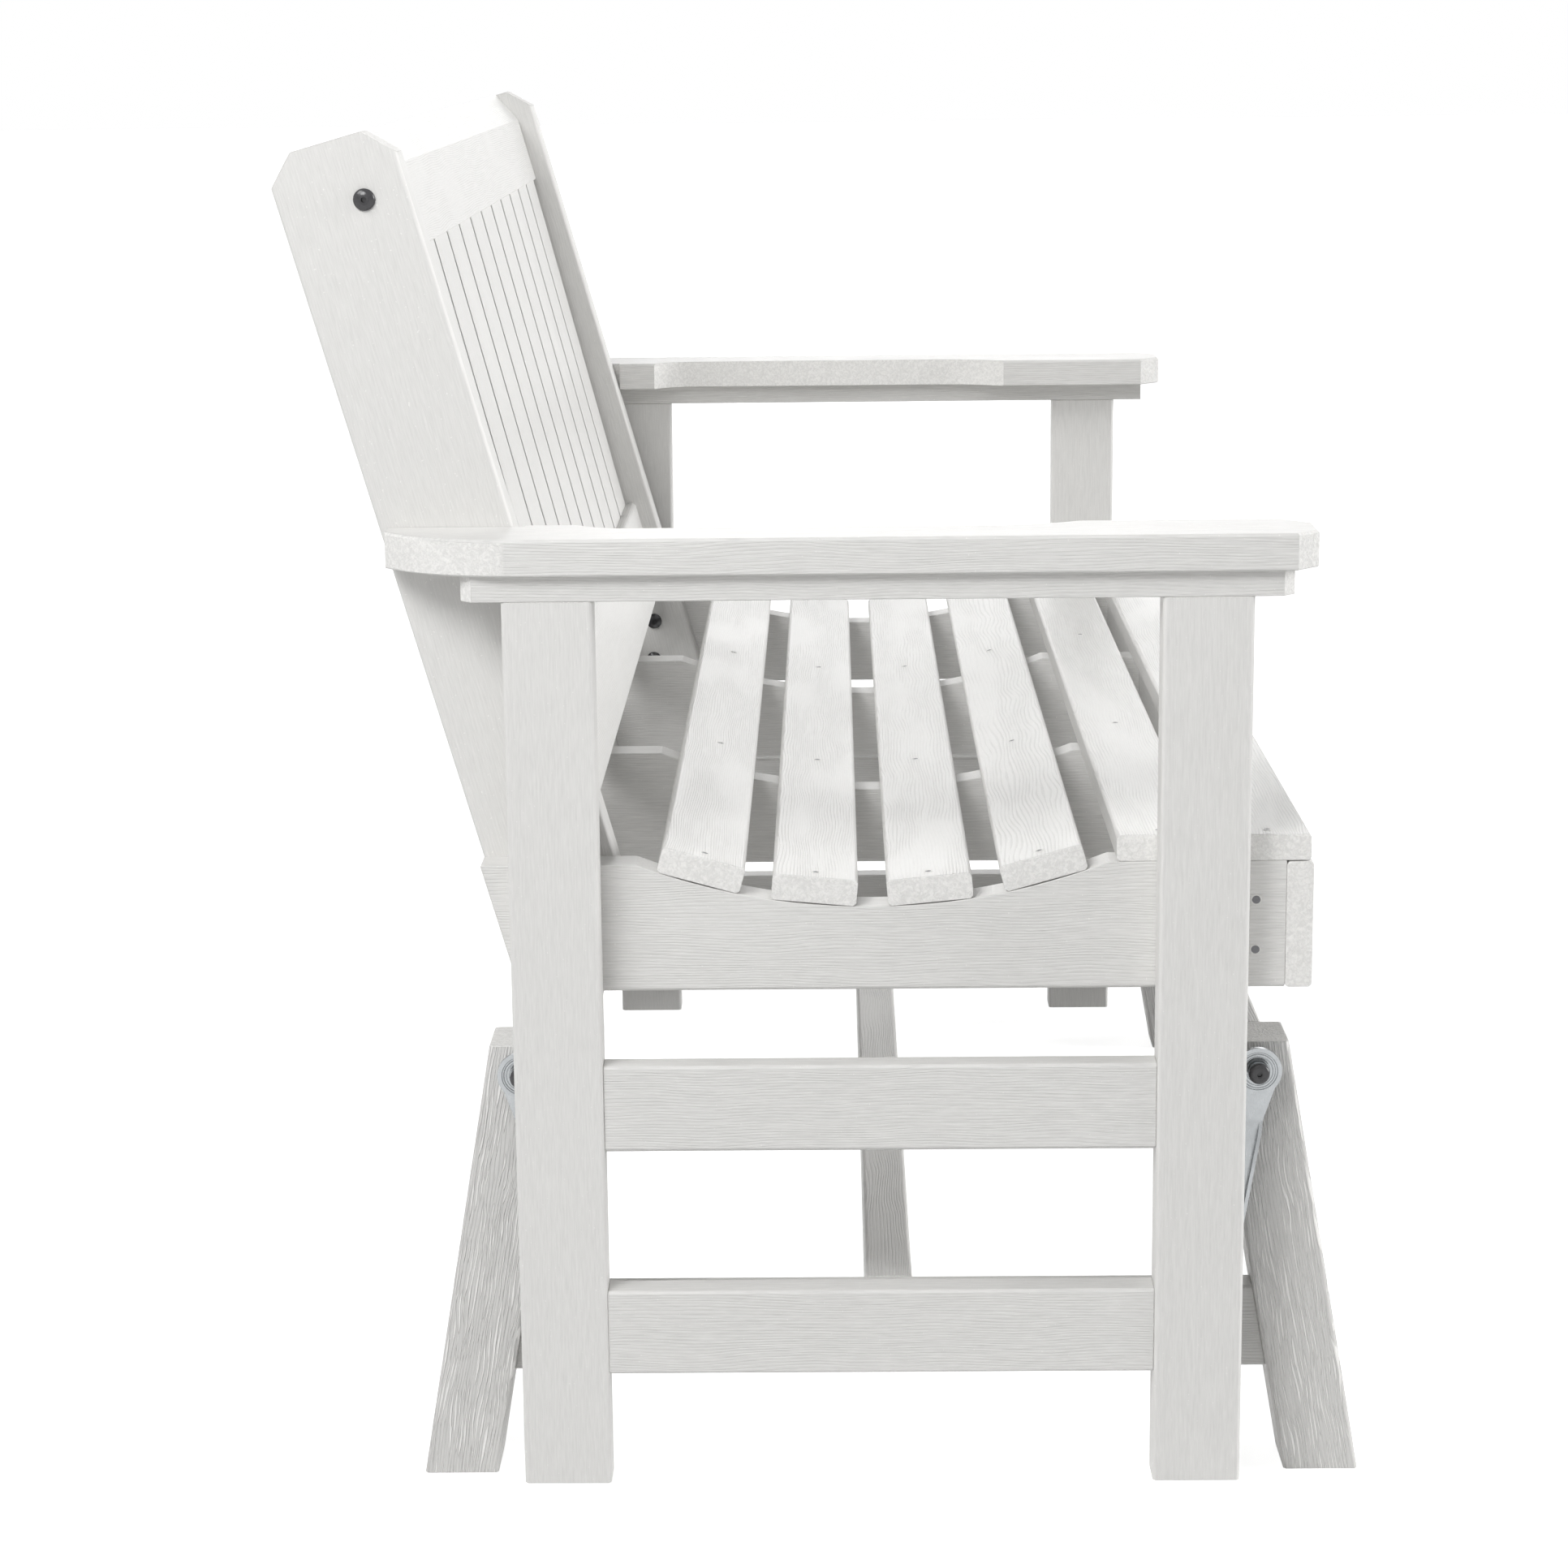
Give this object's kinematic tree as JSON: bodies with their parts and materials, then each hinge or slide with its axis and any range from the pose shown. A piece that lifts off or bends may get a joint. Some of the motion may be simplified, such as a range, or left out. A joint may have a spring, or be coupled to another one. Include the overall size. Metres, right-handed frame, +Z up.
{
  "type": "glider bench",
  "caption": "Slatted porch glider bench with flat arms and a high leaning back, its seat frame hung on steel swing arms from a low base with splayed legs.",
  "frame": {"origin": "middle of the footprint, on the ground", "axes": "+X along the bench to its right side (seen from behind), front towards -Y, +Z up"},
  "size_m": [1.265, 0.7614, 0.9764],
  "materials": {
    "plastic_lumber": "embossed wood grain, matte",
    "zinc_arm": "zinc plated",
    "black_bolt": "black coated"
  },
  "bodies": {
    "base": {"base_centre_beam": "plastic_lumber", "base_leg_bolts": "black_bolt", "base_leg_front_left": "plastic_lumber", "base_leg_front_right": "plastic_lumber", "base_leg_rear_left": "plastic_lumber", "base_leg_rear_right": "plastic_lumber", "base_lower_stretcher_left": "plastic_lumber", "base_lower_stretcher_right": "plastic_lumber", "base_top_rail_front": "plastic_lumber", "base_top_rail_rear": "plastic_lumber", "base_upper_stretcher_left": "plastic_lumber", "base_upper_stretcher_right": "plastic_lumber", "upper_pivot_bolts": "black_bolt"},
    "arm_front_left": {"glider_arm_front_left": "zinc_arm"},
    "arm_front_right": {"glider_arm_front_right": "zinc_arm"},
    "arm_rear_left": {"glider_arm_rear_left": "zinc_arm"},
    "arm_rear_right": {"glider_arm_rear_right": "zinc_arm"},
    "seat": {"arm_support_left": "plastic_lumber", "arm_support_right": "plastic_lumber", "armrest_left": "plastic_lumber", "armrest_right": "plastic_lumber", "back_lower_rail": "plastic_lumber", "back_slat_01": "plastic_lumber", "back_slat_02": "plastic_lumber", "back_slat_03": "plastic_lumber", "back_slat_04": "plastic_lumber", "back_slat_05": "plastic_lumber", "back_slat_06": "plastic_lumber", "back_slat_07": "plastic_lumber", "back_slat_08": "plastic_lumber", "back_slat_09": "plastic_lumber", "back_slat_10": "plastic_lumber", "back_slat_11": "plastic_lumber", "back_slat_12": "plastic_lumber", "back_stile_left": "plastic_lumber", "back_stile_right": "plastic_lumber", "back_top_rail": "plastic_lumber", "end_lower_stretcher_left": "plastic_lumber", "end_lower_stretcher_right": "plastic_lumber", "end_upper_stretcher_left": "plastic_lumber", "end_upper_stretcher_right": "plastic_lumber", "frame_bolts": "black_bolt", "front_apron": "plastic_lumber", "front_cross_rail": "plastic_lumber", "lower_pivot_bolts": "black_bolt", "rear_cross_rail": "plastic_lumber", "seat_post_front_left": "plastic_lumber", "seat_post_front_right": "plastic_lumber", "seat_post_rear_left": "plastic_lumber", "seat_post_rear_right": "plastic_lumber", "seat_rib_left": "plastic_lumber", "seat_rib_right": "plastic_lumber", "seat_slat_1": "plastic_lumber", "seat_slat_2": "plastic_lumber", "seat_slat_3": "plastic_lumber", "seat_slat_4": "plastic_lumber", "seat_slat_5": "plastic_lumber", "seat_slat_6": "plastic_lumber", "side_rail_left": "plastic_lumber", "side_rail_right": "plastic_lumber"}
  },
  "joints": [
    {"name": "swing", "type": "hinge", "parent": "base", "child": "arm_front_left", "pos_m": [-0.57875, -0.2997, 0.312], "axis": [1, 0, 0], "range_deg": [-15, 15]},
    {"name": "swing_front_right", "type": "hinge", "parent": "base", "child": "arm_front_right", "pos_m": [0.57875, -0.2997, 0.312], "axis": [1, 0, 0], "range_deg": [-15, 15]},
    {"name": "swing_rear_left", "type": "hinge", "parent": "base", "child": "arm_rear_left", "pos_m": [-0.57875, 0.2257, 0.312], "axis": [1, 0, 0], "range_deg": [-15, 15]},
    {"name": "swing_rear_right", "type": "hinge", "parent": "base", "child": "arm_rear_right", "pos_m": [0.57875, 0.2257, 0.312], "axis": [1, 0, 0], "range_deg": [-15, 15]},
    {"name": "seat_hang", "type": "hinge", "parent": "arm_front_left", "child": "seat", "pos_m": [-0.57875, -0.2697, 0.13655], "axis": [1, 0, 0], "range_deg": [-18, 18]}
  ],
  "couplings": [
    {"joint": "swing_front_right", "follows": "swing", "ratio": 1},
    {"joint": "swing_rear_left", "follows": "swing", "ratio": 1.0002},
    {"joint": "swing_rear_right", "follows": "swing", "ratio": 1.0002},
    {"joint": "seat_hang", "follows": "swing", "ratio": -1.1268}
  ]
}
